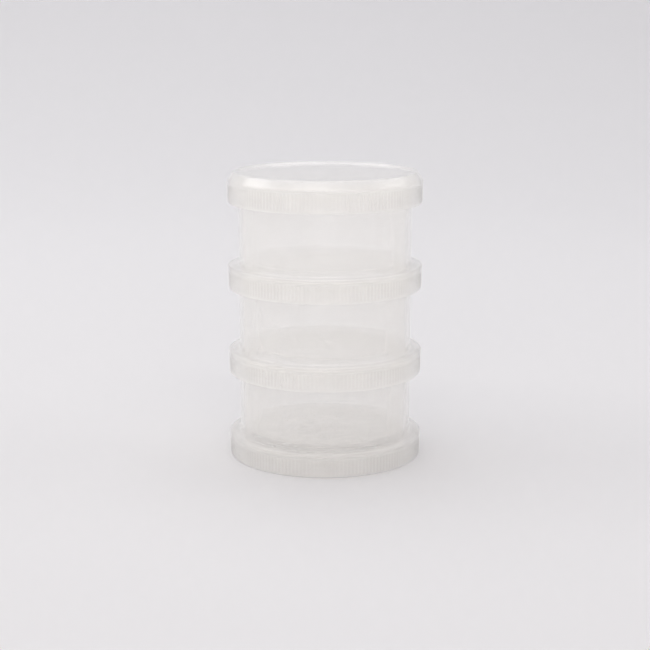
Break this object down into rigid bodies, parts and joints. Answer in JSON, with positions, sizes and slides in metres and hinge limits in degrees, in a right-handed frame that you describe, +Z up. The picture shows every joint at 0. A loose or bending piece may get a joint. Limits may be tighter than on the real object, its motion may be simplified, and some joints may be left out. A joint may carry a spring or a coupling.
{
  "type": "formula dispenser",
  "caption": "Stack of round milk powder cups that twist together, each cup's collar closing the cup below, with a flat lid on top.",
  "frame": {"origin": "middle of the ring that the stack stands on, at the bottom cup's lower edge", "axes": "+Z up along the stack's own axis; +X and +Y are level and alike"},
  "size_m": [0.088, 0.088, 0.13],
  "materials": {
    "natural_pp": "satin, milky see-through natural polypropylene, injection moulded"
  },
  "bodies": {
    "bottom_cup": {"bottom_cup": "natural_pp"},
    "middle_cup": {"middle_cup": "natural_pp"},
    "top_cup": {"top_cup": "natural_pp"},
    "lid": {"lid": "natural_pp"}
  },
  "joints": [
    {"name": "middle_cup_lift", "type": "slide", "parent": "bottom_cup", "child": "middle_cup", "axis": [0, 0, 1], "range_m": [0, 0.05]},
    {"name": "top_cup_lift", "type": "slide", "parent": "middle_cup", "child": "top_cup", "axis": [0, 0, 1], "range_m": [0, 0.05]},
    {"name": "lid_lift", "type": "slide", "parent": "top_cup", "child": "lid", "axis": [0, 0, 1], "range_m": [0, 0.05]}
  ]
}
